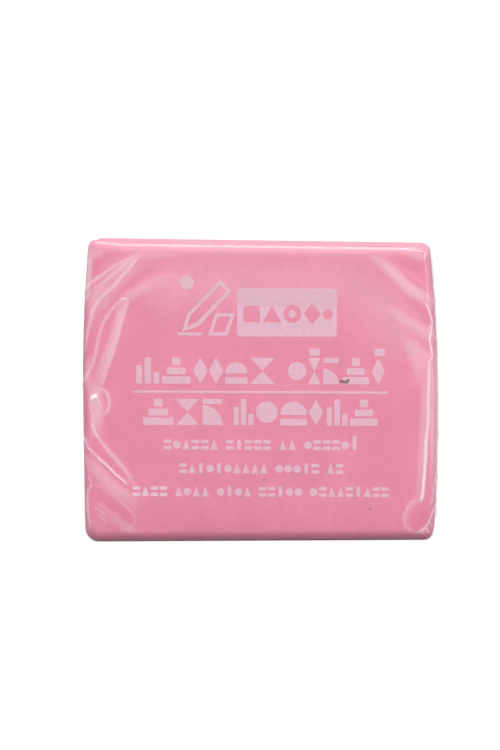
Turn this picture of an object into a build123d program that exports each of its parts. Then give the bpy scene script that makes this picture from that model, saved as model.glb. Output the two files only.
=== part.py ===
"""Kneaded eraser sealed in a clear shrink film.

A soft slab of eraser dough stands on its long narrow side inside a tight tube
of printed film. The tube runs left to right: a flat lap seam closes it along
the back, and a thin hot-wire bead closes each end. Where the tube shrinks from
its full girth down to the bead, the spare film stands up in hollow gathers that
run in from the end faces, turn the corner and fade out on the front and back.

Millimetres. X is the width, Y the depth (the printed front faces -Y), Z is up.
The origin is the middle of the face that the pack stands on.
"""

import os

from build123d import *

# Eraser slab
FOOT_WIDTH = 40.1
TOP_WIDTH = 39.5
HEIGHT = 34.55  # at the middle
TOP_FALL = 0.9  # from the left end down to the right
DEPTH = 10.0
END_BULGE = 0.45  # the soft ends swell by this much at half height
BULGE_RADIUS = 100.0  # of the curve at half height, between straight flanks

# Film tube
FILM = 0.04  # thickness of one layer
END_CLEARANCE = 0.12  # between the slab's end and the film that closes it
FILM_RADIUS = 0.8  # of the tube's corners and edges, inside
CORNER_SLACK = 1.0  # the slab's own corners and edges are this much rounder

# Seals
LAP_WIDTH = 4.0  # of the flat lap seam along the back
LAP_MARGIN = 1.6  # the lap stops short of the tube's ends
BEAD_THICKNESS = 0.24
BEAD_PROUD = 0.3  # above the tent of film that it closes
BEAD_MARGIN = 5.0  # from the bead's ends to the top and the foot
TENT_HEIGHT = 0.4
TENT_HALF_WIDTH = 1.5

# Gathers
GATHER_ROOT = 0.35  # how far a gather's section reaches below the film
SUNK = -0.08  # height of a tip that has died away into the film

FRONT, BACK = -1, 1
LEFT, RIGHT = -1, 1

# A crease is film pinched double: solid, with a sharp crest. It is a list of
# stations from the end face to its tip: (panel, inset, height, half width, crest
# height). On the front or back, inset runs in from the end edge; on an end, in
# from the front or back edge. A height below zero is measured down from the top.
BACK_CREASES = [
    [
        ("corner", 0, -6.6, 0.3, SUNK),
        ("panel", 0.9, -5.4, 0.7, 0.26),
        ("panel", 2.4, -3.9, 0.7, 0.28),
        ("panel", 5.8, -1.6, 0.2, SUNK),
    ],
    [
        ("corner", 0, -11.8, 0.3, SUNK),
        ("panel", 0.9, -10.2, 0.6, 0.22),
        ("panel", 1.8, -8.8, 0.6, 0.24),
        ("panel", 3.9, -6.2, 0.2, SUNK),
    ],
    [
        ("corner", 0, 11.4, 0.3, SUNK),
        ("panel", 0.9, 9.7, 0.6, 0.24),
        ("panel", 1.9, 8.4, 0.6, 0.26),
        ("panel", 4.3, 5.6, 0.2, SUNK),
    ],
    [
        ("corner", 0, 6.3, 0.3, SUNK),
        ("panel", 0.9, 5.3, 0.7, 0.26),
        ("panel", 2.6, 3.9, 0.7, 0.28),
        ("panel", 5.4, 1.8, 0.2, SUNK),
    ],
]
END_CREASES = [  # from the bead's ends out to the corners of the end face
    [
        ("end", 4.1, -4.9, 0.3, SUNK),
        ("end", 3.0, -3.6, 0.55, 0.24),
        ("end", 1.9, -2.5, 0.5, 0.2),
        ("end", 0.9, -1.7, 0.2, SUNK),
    ],
    [
        ("end", 4.1, 4.8, 0.3, SUNK),
        ("end", 3.1, 3.6, 0.55, 0.24),
        ("end", 1.8, 2.4, 0.5, 0.2),
        ("end", 0.9, 1.8, 0.2, SUNK),
    ],
]
CREASES = {
    (LEFT, FRONT): [
        [
            ("end", 1.5, -6.6, 0.5, SUNK),
            ("corner", 0, -5.9, 0.6, 0.18),
            ("panel", 2.8, -3.7, 0.55, 0.3),
            ("panel", 6.4, -1.4, 0.2, SUNK),
        ],
        [
            ("corner", 0, -12.6, 0.3, SUNK),
            ("panel", 0.9, -8.8, 0.42, 0.24),
            ("panel", 2.1, -6.3, 0.45, 0.3),
            ("panel", 5.2, -3.4, 0.2, SUNK),
        ],
        [
            ("corner", 0, 14.2, 0.3, SUNK),
            ("panel", 0.9, 12.1, 0.5, 0.3),
            ("panel", 2.7, 9.8, 0.5, 0.34),
            ("panel", 5.7, 5.9, 0.2, SUNK),
        ],
        [
            ("end", 1.3, 11.7, 0.4, SUNK),
            ("corner", 0, 10.9, 0.45, 0.16),
            ("panel", 1.7, 9.0, 0.45, 0.3),
            ("panel", 3.9, 6.5, 0.2, SUNK),
        ],
        [
            ("end", 1.4, 7.1, 0.5, SUNK),
            ("corner", 0, 6.6, 0.55, 0.18),
            ("panel", 2.3, 5.3, 0.5, 0.26),
            ("panel", 5.8, 2.9, 0.2, SUNK),
        ],
        [
            ("corner", 0, 4.6, 0.35, SUNK),
            ("panel", 2.0, 3.4, 0.45, 0.22),
            ("panel", 4.5, 1.5, 0.2, SUNK),
        ],
    ],
    (RIGHT, FRONT): [
        [
            ("end", 1.2, -14.0, 0.5, SUNK),
            ("corner", 0, -13.5, 0.6, 0.1),
            ("panel", 1.2, -12.4, 0.6, 0.18),
            ("panel", 3.2, -11.0, 0.3, SUNK),
        ],
        [
            ("corner", 0, 5.8, 0.35, SUNK),
            ("panel", 0.8, 4.4, 0.45, 0.26),
            ("panel", 2.6, 2.4, 0.4, 0.26),
            ("panel", 3.3, 0.9, 0.2, SUNK),
        ],
        [
            ("end", 1.2, 3.4, 0.5, SUNK),
            ("corner", 0, 3.0, 0.6, 0.16),
            ("panel", 1.2, 2.2, 0.6, 0.24),
            ("panel", 2.4, 0.9, 0.2, SUNK),
        ],
    ],
    (LEFT, BACK): BACK_CREASES,
    (RIGHT, BACK): BACK_CREASES,
}

# A pleat is a broader, hollow gather with two crests. Its stations also give
# half the distance between them: (panel, inset, height, half width, crest height,
# crest half width).
PLEATS = {
    (LEFT, FRONT): [
        [
            ("end", 1.2, -17.2, 0.5, SUNK, 0.2),
            ("corner", 0, -16.5, 0.8, 0.14, 0.35),
            ("panel", 1.9, -13.8, 1.1, 0.3, 0.65),
            ("panel", 2.9, -10.2, 1.0, 0.32, 0.6),
            ("panel", 4.5, -6.9, 0.3, SUNK, 0.12),
        ],
        [
            ("end", 1.2, -18.9, 0.4, SUNK, 0.15),
            ("corner", 0, -18.8, 0.7, 0.2, 0.3),
            ("panel", 1.3, -19.1, 0.9, 0.42, 0.45),
            ("panel", 2.9, -19.9, 0.3, SUNK, 0.1),
        ],
    ],
    (RIGHT, FRONT): [
        [
            ("end", 1.4, -5.7, 0.6, SUNK, 0.2),
            ("corner", 0, -5.0, 0.8, 0.14, 0.3),
            ("panel", 1.6, -3.1, 0.9, 0.24, 0.35),
            ("panel", 4.8, -0.9, 0.3, SUNK, 0.1),
        ],
        [
            ("end", 1.3, -10.3, 0.6, SUNK, 0.2),
            ("corner", 0, -9.7, 0.8, 0.12, 0.3),
            ("panel", 1.0, -8.6, 0.9, 0.22, 0.35),
            ("panel", 3.4, -5.8, 0.3, SUNK, 0.1),
        ],
    ],
}


def top_at(x):
    """Height of the slab's sloping top at one place along its width."""
    return FILM + HEIGHT - TOP_FALL / TOP_WIDTH * x


def end_points(side, clear, grow):
    """The foot, middle and top of one swollen end, as (x, z), held clear of the slab's."""
    foot_half = FOOT_WIDTH / 2 + clear
    top_half = TOP_WIDTH / 2 + clear
    foot = FILM - grow
    top = top_at(side * top_half) + grow
    swollen = (foot_half + top_half) / 2 + END_BULGE
    return (side * foot_half, foot), (side * swollen, (foot + top) / 2), (side * top_half, top)


def front_outline(clear, grow):
    """The front view: flat foot, sloping top and swollen ends."""
    left_foot, left_middle, left_top = end_points(LEFT, clear, grow)
    right_foot, right_middle, right_top = end_points(RIGHT, clear, grow)
    return make_face([
        Line(right_top, left_top),
        FilletPolyline(left_top, left_middle, left_foot, radius=BULGE_RADIUS),
        Line(left_foot, right_foot),
        FilletPolyline(right_foot, right_middle, right_top, radius=BULGE_RADIUS),
    ])


def soft_box(outline, depth, radius):
    """A front outline given its depth, with its four corners and then its edges rounded."""
    body = extrude(Plane.XZ * outline, depth / 2, both=True)
    across = body.edges().filter_by(Axis.Y).group_by(Axis.Z)
    body = fillet(across[0] + across[-1] + across[-2], radius)
    return fillet(body.faces().filter_by(Axis.Y).edges(), radius)


def eraser_block():
    return soft_box(front_outline(0, 0), DEPTH, FILM_RADIUS + CORNER_SLACK)


def tube(grow):
    """The solid that fills the tube: up to the film's inner surface, and larger by grow."""
    return soft_box(front_outline(END_CLEARANCE + grow, grow), DEPTH + 2 * grow, FILM_RADIUS + grow)


def end_x(side, z):
    """How far out the film of one end is at a height."""
    foot, middle, top = end_points(side, END_CLEARANCE, 0)
    low, high = (foot, middle) if z < middle[1] else (middle, top)
    return low[0] + (high[0] - low[0]) * (z - low[1]) / (high[1] - low[1])


def place_on_tube(side, face, panel, inset, height):
    """A point on the film's inner surface, and the outward direction there."""
    z = FILM + height if height >= 0 else top_at(side * TOP_WIDTH / 2) + height
    x = end_x(side, z)
    y = face * DEPTH / 2
    if panel == "panel":
        return Vector(x - side * inset, y, z), Vector(0, face, 0)
    if panel == "end":
        return Vector(x, y - face * inset, z), Vector(side, 0, 0)
    rounding = FILM_RADIUS * (1 - 0.5**0.5)
    return Vector(x - side * rounding, y - face * rounding, z), Vector(side, face, 0).normalized()


def section(half_width, height, crest=0.0, grow=0.0):
    """Across a gather: a sharp tent, or a blunt one where it has two crests."""
    if crest:
        crests = [(-crest - grow / 2, height + grow), (crest + grow / 2, height + grow)]
    else:
        crests = [(0, height + grow)]
    left, right = (-half_width - grow, -GATHER_ROOT), (half_width + grow, -GATHER_ROOT)
    return make_face(Polyline(left, *crests, right, close=True))


def gather(side, face, stations, grow):
    """Sections square to a gather's path, joined by straight runs from station to station."""
    places = [place_on_tube(side, face, *station[:3]) for station in stations]
    sections = []
    for i, (point, outward) in enumerate(places):
        before, _ = places[max(i - 1, 0)]
        after, _ = places[min(i + 1, len(places) - 1)]
        along = (after - before).normalized()
        plane = Plane(point, x_dir=outward.cross(along), z_dir=along)
        sections.append(plane * section(*stations[i][3:], grow=grow))
    return loft(sections, ruled=True)


def end_tent(side, grow):
    """The low tent of film that rises to the bead along the middle of an end face."""
    stations = [
        ("end", DEPTH / 2, -BEAD_MARGIN / 2, TENT_HALF_WIDTH / 2, SUNK),
        ("end", DEPTH / 2, -BEAD_MARGIN, TENT_HALF_WIDTH, TENT_HEIGHT),
        ("end", DEPTH / 2, HEIGHT / 2, TENT_HALF_WIDTH, TENT_HEIGHT),
        ("end", DEPTH / 2, BEAD_MARGIN, TENT_HALF_WIDTH, TENT_HEIGHT),
        ("end", DEPTH / 2, BEAD_MARGIN / 2, TENT_HALF_WIDTH / 2, SUNK),
    ]
    return gather(side, FRONT, stations, grow)


def hollow(grow):
    """The filled tube with its pleats and end tents, out to the film's inner surface plus grow."""
    body = tube(grow) + [end_tent(LEFT, grow), end_tent(RIGHT, grow)]
    for (side, face), pleats in PLEATS.items():
        body += [gather(side, face, stations, grow) for stations in pleats]
    return body


def bead(side):
    """The fused rim that the hot wire leaves, standing on the crest of an end's tent."""
    crest = END_CLEARANCE + TENT_HEIGHT
    rim = front_outline(crest + BEAD_PROUD, 0) - front_outline(crest - GATHER_ROOT, 0)
    rim_length = HEIGHT - 2 * BEAD_MARGIN
    window = Pos(side * FOOT_WIDTH / 2, FILM + BEAD_MARGIN + rim_length / 2) * Rectangle(
        FOOT_WIDTH / 2, rim_length
    )
    return extrude(Plane.XZ * (rim & window), BEAD_THICKNESS / 2, both=True)


def lap_seam():
    """The second layer of film where the tube's two long edges overlap on the back."""
    length = TOP_WIDTH - 2 * LAP_MARGIN
    return Pos(0, DEPTH / 2 + FILM, FILM + HEIGHT / 2) * Box(length, 2 * FILM, LAP_WIDTH)


def film_wrap():
    outside = hollow(FILM) + bead(LEFT) + bead(RIGHT) + lap_seam()
    for (side, face), creases in CREASES.items():
        outside += [gather(side, face, stations, FILM) for stations in creases + END_CREASES]
    return outside - hollow(0)


os.makedirs("parts", exist_ok=True)
export_step(eraser_block(), "parts/eraser_block.step")
export_step(film_wrap(), "parts/film_wrap.step")
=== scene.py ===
"""Kneaded eraser in clear shrink film: the looks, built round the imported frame."""

import math

import bpy
import numpy as np
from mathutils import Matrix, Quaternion, Vector


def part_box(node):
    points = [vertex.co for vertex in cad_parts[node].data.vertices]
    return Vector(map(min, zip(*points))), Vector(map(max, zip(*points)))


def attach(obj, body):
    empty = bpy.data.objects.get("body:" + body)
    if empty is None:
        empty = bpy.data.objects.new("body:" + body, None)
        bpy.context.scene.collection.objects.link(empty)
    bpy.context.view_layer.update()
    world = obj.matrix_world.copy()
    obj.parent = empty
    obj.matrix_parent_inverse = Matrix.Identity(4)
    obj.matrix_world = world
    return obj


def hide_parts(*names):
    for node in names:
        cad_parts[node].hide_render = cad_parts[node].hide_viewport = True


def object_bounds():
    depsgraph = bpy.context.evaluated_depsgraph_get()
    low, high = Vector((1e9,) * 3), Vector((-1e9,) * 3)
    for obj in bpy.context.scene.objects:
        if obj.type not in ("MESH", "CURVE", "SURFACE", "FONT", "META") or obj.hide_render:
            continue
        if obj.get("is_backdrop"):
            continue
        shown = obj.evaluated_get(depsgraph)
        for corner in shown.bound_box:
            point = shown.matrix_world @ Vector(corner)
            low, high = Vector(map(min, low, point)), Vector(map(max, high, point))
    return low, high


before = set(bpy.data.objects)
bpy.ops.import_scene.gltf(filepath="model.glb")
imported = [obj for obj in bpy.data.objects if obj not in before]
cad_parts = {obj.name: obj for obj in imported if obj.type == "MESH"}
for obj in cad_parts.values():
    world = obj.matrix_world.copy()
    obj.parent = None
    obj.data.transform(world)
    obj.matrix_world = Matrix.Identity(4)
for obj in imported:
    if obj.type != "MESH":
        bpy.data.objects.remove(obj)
cad_low, cad_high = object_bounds()

# ---------------------------------------------------------------------------
# Eraser slab
# Kneadable dough: soft rubber with chalk and oil, pressed and cut to a slab. It
# is dull and faintly mottled, and its corners have slumped round in the pack.

MM = 0.001
slab_low, slab_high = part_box("eraser_block")
DEPTH = (slab_high[1] - slab_low[1]) / MM
FOOT = slab_low[2] / MM
TOP_LEFT = slab_high[2] / MM
WIDEST = (slab_high[0] - slab_low[0]) / MM
TOP_FALL = 0.9  # from the left end down to the right
# How far the foot and the top of the left and the right end stay behind its middle
FOOT_BEHIND = (0.05, 0.52)
TOP_BEHIND = (0.88, 0.75)
FOOT_SLUMP = 0.35  # how far the front and back draw in at the foot
SLUMP_HEIGHT = 4.5
FOOT_ZONE = 3  # height over which the edges' radius changes to that of the foot
EAR = 0.5  # how far the top left corner is drawn up
EAR_WIDTH = 3.8
EAR_DEPTH = 3.0


def select(obj, chosen_edges):
    """Leaves just these edges of a mesh selected in edit mode: chosen_edges(a, b) for its ends."""
    bpy.ops.object.mode_set(mode="OBJECT")
    mesh = obj.data
    for group in (mesh.polygons, mesh.edges, mesh.vertices):
        group.foreach_set("select", [False] * len(group))
    ends = [(mesh.vertices[e.vertices[0]].co, mesh.vertices[e.vertices[1]].co) for e in mesh.edges]
    mesh.edges.foreach_set("select", [chosen_edges(a, b) for a, b in ends])
    bpy.context.tool_settings.mesh_select_mode = (False, True, False)
    bpy.ops.object.mode_set(mode="EDIT")


def cut_box(name, cells):
    """A cube from -1 to 1, cut along X, Y and Z: [8, 10] makes 8 cells and then 10 of each."""
    bpy.ops.object.select_all(action="DESELECT")
    bpy.ops.mesh.primitive_cube_add(size=2)
    box = bpy.context.object
    box.name = name
    for axis, steps in enumerate(cells):
        for cuts in steps:
            select(box, lambda a, b, axis=axis: abs(a[axis] - b[axis]) > 1e-6)
            bpy.ops.mesh.subdivide(number_cuts=cuts - 1)
    bpy.ops.object.mode_set(mode="OBJECT")
    return box


def positions(obj):
    """A mesh's vertices as rows of X, Y and Z."""
    flat = np.empty(len(obj.data.vertices) * 3)
    obj.data.vertices.foreach_get("co", flat)
    return flat.reshape(-1, 3)


def rounded(distance, radius):
    """Where a point at this distance from a sharp edge goes when it is rounded: (along, down)."""
    angle = math.pi / 4 * np.clip(1 - distance / radius, 0, 1)
    along = np.where(distance < radius, radius * (1 - np.sin(angle)), distance)
    return along, radius * (1 - np.cos(angle))


def shape_slab(box, skin, end_skin, edge_radius, foot_radius, corner_radii, spacing):
    """Moves a cut box's vertices to the slab's form, larger by skin, and by end_skin at its ends.

    corner_radii are of the foot and top on the left, then on the right. Returns
    each vertex's place on the unrounded box: how far in from the end edge, from
    the front or back edge, from the foot and from the top.
    """
    unit = positions(box)
    half_width = WIDEST / 2 + end_skin
    height = TOP_LEFT - FOOT - TOP_FALL / 2 + 2 * skin
    half_depth = DEPTH / 2 + skin
    x, y, z = (np.interp(unit[:, i], *spacing[i](half)) for i, half in enumerate(
        (half_width, half_depth, height / 2)
    ))
    from_end = half_width - np.abs(x)
    from_foot = z + height / 2
    from_top = height - from_foot
    from_face = half_depth - np.abs(y)
    edge_radius = edge_radius + (foot_radius - edge_radius) * np.clip(1 - from_foot / FOOT_ZONE, 0, 1)

    # Rounding between the front or back and the ends, foot and top
    on_face = from_face < 1e-6
    ring = np.where(on_face, np.minimum(from_end, np.minimum(from_foot, from_top)), 0)
    inward, back = rounded(ring, edge_radius)
    inward_2, back_2 = rounded(from_face, edge_radius)
    new_ring = np.where(on_face, inward, back_2)
    new_face = np.where(on_face, back, inward_2)

    # Rounding of the four corners seen from the front
    new_end = np.where(from_end <= ring + 1e-6, new_ring, from_end)
    new_foot = np.where(from_foot <= ring + 1e-6, new_ring, from_foot)
    new_top = np.where(from_top <= ring + 1e-6, new_ring, from_top)
    for side, radii in ((-1, corner_radii[0]), (1, corner_radii[1])):
        for upright, new_upright, radius in (
            (from_foot, new_foot, radii[0]),
            (from_top, new_top, radii[1]),
        ):
            near = (x * side > 0) & (from_end < radius) & (upright < radius)
            farther = np.maximum(from_end, upright)[near]
            share = (farther - ring[near]) / (radius - ring[near])
            angle = math.pi / 4 * (1 - share)
            reach = radius - new_ring[near]
            by_end = (from_end < upright)[near]
            new_end[near] = radius - reach * np.where(by_end, np.cos(angle), np.sin(angle))
            new_upright[near] = radius - reach * np.where(by_end, np.sin(angle), np.cos(angle))
    z_now = np.where(from_foot < from_top, new_foot, height - new_top) / height

    # Swollen ends and sloping top
    foot_behind = np.where(x < 0, *FOOT_BEHIND)
    top_behind = np.where(x < 0, *TOP_BEHIND)
    below_middle = np.clip(1 - 2 * z_now, 0, 1) ** 2
    above_middle = np.clip(2 * z_now - 1, 0, 1) ** 2
    wide = half_width - foot_behind * below_middle - top_behind * above_middle
    x_now = np.sign(x) * (half_width - new_end) / half_width * wide
    top = TOP_LEFT + skin - TOP_FALL * (x_now / WIDEST + 0.5)
    z_now = FOOT - skin + z_now * (top - FOOT + skin)
    slump = FOOT_SLUMP * np.clip(1 - (z_now - FOOT) / SLUMP_HEIGHT, 0, 1) ** 2
    y_now = np.sign(y) * (half_depth - new_face) * (1 - slump / half_depth)
    box.data.vertices.foreach_set("co", (np.stack([x_now, y_now, z_now], 1) * MM).ravel())
    box.data.update()
    return from_end, from_face, from_foot, from_top


def raise_ear(obj, from_end, from_face, from_top):
    """Draws up the top left corner at the front, where the film's spare corner pulls at the dough."""
    at = positions(obj)
    rise = (
        np.clip(1 - from_end / EAR_WIDTH, 0, 1) ** 1.3
        * np.clip(1 - from_top / EAR_DEPTH, 0, 1)
        * np.clip(1 - from_face / EAR_DEPTH, 0, 1)
    )
    at[:, 2] += np.where((at[:, 0] < 0) & (at[:, 1] < 0), EAR * rise * MM, 0)
    obj.data.vertices.foreach_set("co", at.ravel())
    obj.data.update()


def crowded(edge, share):
    """Spacing that gives the outer edge (mm) of each side this share of the cells."""
    return lambda half: ([-1, -1 + 2 * share, 1 - 2 * share, 1], [-half, edge - half, half - edge, half])


def linear(hex_colour):
    """An sRGB hex colour as a node's linear RGBA."""
    channels = [int(hex_colour[i : i + 2], 16) / 255 for i in (1, 3, 5)]
    return [c / 12.92 if c <= 0.04045 else ((c + 0.055) / 1.055) ** 2.4 for c in channels] + [1]


def new_material(name):
    """An empty node material, and its output's Surface socket."""
    material = bpy.data.materials.new(name)
    material.use_nodes = True
    material.node_tree.nodes.clear()
    output = material.node_tree.nodes.new("ShaderNodeOutputMaterial")
    return material, output.inputs["Surface"]


def add_node(tree, kind, settings=(), **sockets):
    """A node with its settings, and its inputs set to a value or linked to a socket."""
    node = tree.nodes.new("ShaderNode" + kind)
    for setting, value in dict(settings).items():
        setattr(node, setting, value)
    for name, value in sockets.items():
        socket = node.inputs[int(name[1:])] if name[1:].isdigit() else node.inputs[name.replace("_", " ")]
        if isinstance(value, bpy.types.NodeSocket):
            tree.links.new(value, socket)
        else:
            socket.default_value = value
    return node


def add_ramp(tree, factor, *stops):
    """The colour that a factor picks between stops of a position and a colour."""
    ramp = add_node(tree, "ValToRGB", Fac=factor)
    for element, (position, hex_colour) in zip(ramp.color_ramp.elements, stops):
        element.position = position
        element.color = linear(hex_colour)
    return ramp.outputs["Color"]


def eraser_dough():
    """Pigmented chalk in soft rubber: no gloss, a little light carried under the surface."""
    material, surface = new_material("eraser_dough")
    tree = material.node_tree
    place = add_node(tree, "TexCoord").outputs["Object"]
    mottle = add_node(tree, "TexNoise", Vector=place, Scale=1400, Detail=4, Roughness=0.6)
    clouds = add_node(tree, "TexNoise", Vector=place, Scale=180, Detail=2, Roughness=0.5)
    blend = add_node(tree, "Math", {"operation": "MULTIPLY"}, _0=mottle.outputs["Fac"],
                     _1=clouds.outputs["Fac"])
    ramp = add_ramp(tree, blend.outputs[0], (0.1, "#DE7998"), (0.42, "#EA86A5"))
    dents = add_node(tree, "Bump", Strength=0.25, Distance=0.0001, Height=mottle.outputs["Fac"])
    shader = add_node(tree, "BsdfPrincipled", Base_Color=ramp, Roughness=0.75,
                      Normal=dents.outputs["Normal"])
    tree.links.new(shader.outputs[0], surface)
    return material


SLAB_SKIN = 0.02  # mm, all but filling the film
slab = cut_box("eraser_slab", ([8, 10], [30], [8, 10]))
from_end, from_face, _, from_top = shape_slab(
    slab,
    SLAB_SKIN,
    end_skin=0.14,
    edge_radius=1.0,
    foot_radius=1.6,
    corner_radii=((1.6, 1.1), (1.1, 1.1)),
    spacing=(crowded(2.1, 0.2), crowded(1.5, 0.3), crowded(2.1, 0.2)),
)
raise_ear(slab, from_end, from_face, from_top)
bpy.ops.object.shade_smooth()
slab.data.materials.append(eraser_dough())
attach(slab, "root")
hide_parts("eraser_block")

# ---------------------------------------------------------------------------
# Film
# Clear polyolefin shrink film, 0.04 mm thick, drawn tight by hot air. Where it
# clings to the dough it looks wet and deeper in colour; where it bridges an
# edge or stands up in a gather, the air behind it makes it paler. The same
# white hazing also holds painted reflections of the softboxes, as broad pale
# bands, and painted highlights, as white lines along crests and edges.

FILM_SKIN = 0.04  # mm from the CAD slab to the film's outside
END_SKIN = 0.2  # the same at its ends
FILM_EDGE_RADIUS = 0.95
FILM_FOOT_RADIUS = 1.55
# How much the film hazes over where it lies flat, and what paleness or whiteness 1 adds:
# paleness is partly the air behind the film and partly painted reflection, whiteness
# partly the doubled film and partly painted highlight
HAZE_FLAT = 0.04
HAZE_PALE_AND_SHEEN = 0.24
HAZE_CREST_AND_HIGHLIGHT = 0.34
CREST_LINE = 0.09  # mm that a crest's whiteness reaches on each side, and
CREST_SHARE = 0.45  # the share of the slope on that side that it takes in as well
CLING_SHARE = 0.4  # how far a cling takes haze away and deepens the colour
# A raised gather is made paler: partly its air gap, partly painted reflection off its tilted film.
PALE_AT_LIFT = 0.25  # mm of lift that turns a gather as pale as GATHER_PALENESS
GATHER_PALENESS = 0.6
PILLOW_LIFT = 0.1  # mm at paleness 1, but none close to the top
TOP_FLAT = 0.6
TOP_RUN_UP = 1.2
# The share of a path's length over which each fades away at either end
GATHER_FADE = 0.18
PILLOW_FADE = 0.3
CLING_FADE = 0.2

# A gather: ((how far in from the end's edge, height), ...), lift, its widths on the
# left and the right of its path, and how white its crest line is: partly the doubled
# film's own whiteness, partly a painted highlight standing in for the lamps' glints.
# Below zero, how far in runs round the corner on to the end face, and a height is
# measured down from the top.
LEFT_GATHERS = [
    # fine folds that fan in and up from the end at the top corner
    (((-2.5, -6.6), (-0.4, -5.6), (0.5, -4.9), (1.4, -4.2), (2.3, -3.6), (3.2, -2.9), (4.1, -2.4),
      (5.2, -1.8), (6.9, -0.8)), 0.1, 0.35, 0.4, 0.6),
    (((-1.5, -7.6), (0.1, -6.4), (1.7, -5.0), (2.9, -4.0), (4.1, -3.0), (5.6, -2.0), (6.9, -1.1)),
     0.07, 0.3, 0.4, 0.4),
    (((-0.2, -13.6), (0.3, -11.8), (0.6, -10.1), (0.9, -9.1), (1.2, -7.9), (1.9, -6.6), (2.8, -5.7),
      (3.7, -4.8), (4.4, -3.9), (5.2, -3.1), (6.1, -1.9), (7.0, -1.1)), 0.14, 0.7, 0.5, 0.75),
    (((-2.2, -17.2), (-0.8, -16.5), (0.4, -15.4), (0.9, -14.8), (1.3, -13.9), (1.7, -12.1), (2.0, -10.6),
      (2.5, -9.1), (3.8, -7.2), (4.7, -6.4)), 0.16, 0.35, 0.55, 0.5),
    # the long pleat below them, and a painted glint on its tip
    (((2.2, -17.2), (2.4, -16.3), (2.8, -15.2), (3.5, -13.3), (4.1, -11.4), (4.4, -10.2), (4.8, -8.7),
      (5.1, -7.6), (5.2, -6.9), (5.0, -6.4)), 0.26, 1.0, 0.4, 0.4),
    (((4.3, -6.6), (4.7, -6.45), (5.1, -6.55)), 0.1, 0.25, 0.25, 1.0),
    # the ring round a bubble at mid height, and its tail down and in, with painted glints on both
    (((1.6, 17.0), (2.0, 17.5), (2.3, 17.7), (2.9, 17.2), (3.1, 16.5), (3.2, 16.0), (3.1, 15.4),
      (2.8, 14.9), (2.3, 14.7)), 0.2, 0.4, 0.6, 0.45),
    (((1.6, 17.0), (1.1, 16.6), (0.8, 15.9), (1.0, 15.2), (1.2, 14.4), (1.2, 13.4), (1.6, 12.5),
      (1.9, 11.9), (2.8, 10.7), (4.0, 9.5), (4.6, 8.7), (5.2, 7.9), (6.3, 6.0)), 0.16, 0.5, 0.4, 0.3),
    (((1.15, 13.9), (1.25, 13.1), (1.5, 12.5), (1.9, 11.9)), 0.2, 0.3, 0.25, 0.9),
    (((1.2, 17.0), (1.5, 16.7), (1.9, 16.0), (2.4, 15.2)), 0.26, 0.4, 0.4, 0.2),
    (((0.95, 16.5), (1.35, 16.85), (1.8, 17.0)), 0.3, 0.45, 0.45, 2.0),
    # the lower crest, from the end face down and in, with a painted highlight line along it
    (((-1.8, 13.4), (-0.6, 12.5), (0.2, 11.8), (0.5, 11.1), (1.2, 10.4), (2.0, 9.6), (2.9, 8.8),
      (3.8, 7.9), (4.6, 7.2), (5.4, 6.5)), 0.28, 0.35, 0.5, 0.45),
    (((1.5, 10.1), (2.0, 9.6), (2.9, 8.8), (3.8, 7.9), (4.6, 7.2), (5.3, 6.6)), 0.28, 0.3, 0.4, 1.0),
    (((-0.4, 10.5), (0.1, 9.8), (0.5, 8.4), (0.7, 7.2), (1.0, 6.8)), 0.16, 0.4, 0.3, 0.2),
    # soft folds and crinkles at the foot, two of them round an oval dent
    (((1.0, 6.8), (2.1, 6.2), (3.5, 5.2), (4.9, 4.2), (5.9, 3.2)), 0.1, 0.5, 0.3, 0.05),
    (((1.1, 6.9), (0.7, 6.3), (0.3, 5.5), (0.35, 3.8), (0.6, 2.4), (0.5, 1.4)), 0.14, 0.3, 0.3, 0.65),
    (((1.5, 4.6), (2.4, 4.0), (3.4, 3.1), (4.4, 2.1), (4.9, 1.4)), 0.08, 0.5, 0.6, 0.05),
    (((3.9, 4.9), (4.9, 4.1), (5.7, 3.3), (5.9, 2.4), (5.5, 1.6), (4.8, 1.3)), 0.12, 0.3, 0.25, 0.25),
    (((5.6, 1.9), (5.2, 1.5), (4.6, 1.4), (4.1, 1.6)), 0.12, 0.3, 0.3, 0.3),
    (((1.2, 4.0), (1.9, 3.7), (2.4, 3.0)), 0.1, 0.15, 0.2, 0.45),
    (((1.8, 4.4), (2.2, 3.5), (2.9, 2.9)), 0.08, 0.15, 0.15, 0.35),
    (((1.5, 3.3), (2.2, 2.8), (2.7, 2.1)), 0.08, 0.2, 0.15, 0.35),
    # the top edge: a painted highlight line along it
    (((0.7, -0.3), (1.6, -0.15), (2.8, -0.1), (4.4, -0.1)), 0.04, 0.2, 0.2, 0.9),
    (((2.0, -0.1), (9.0, -0.1), (36.0, -0.1)), 0.03, 0.15, 0.2, 0.95),
]
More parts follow.
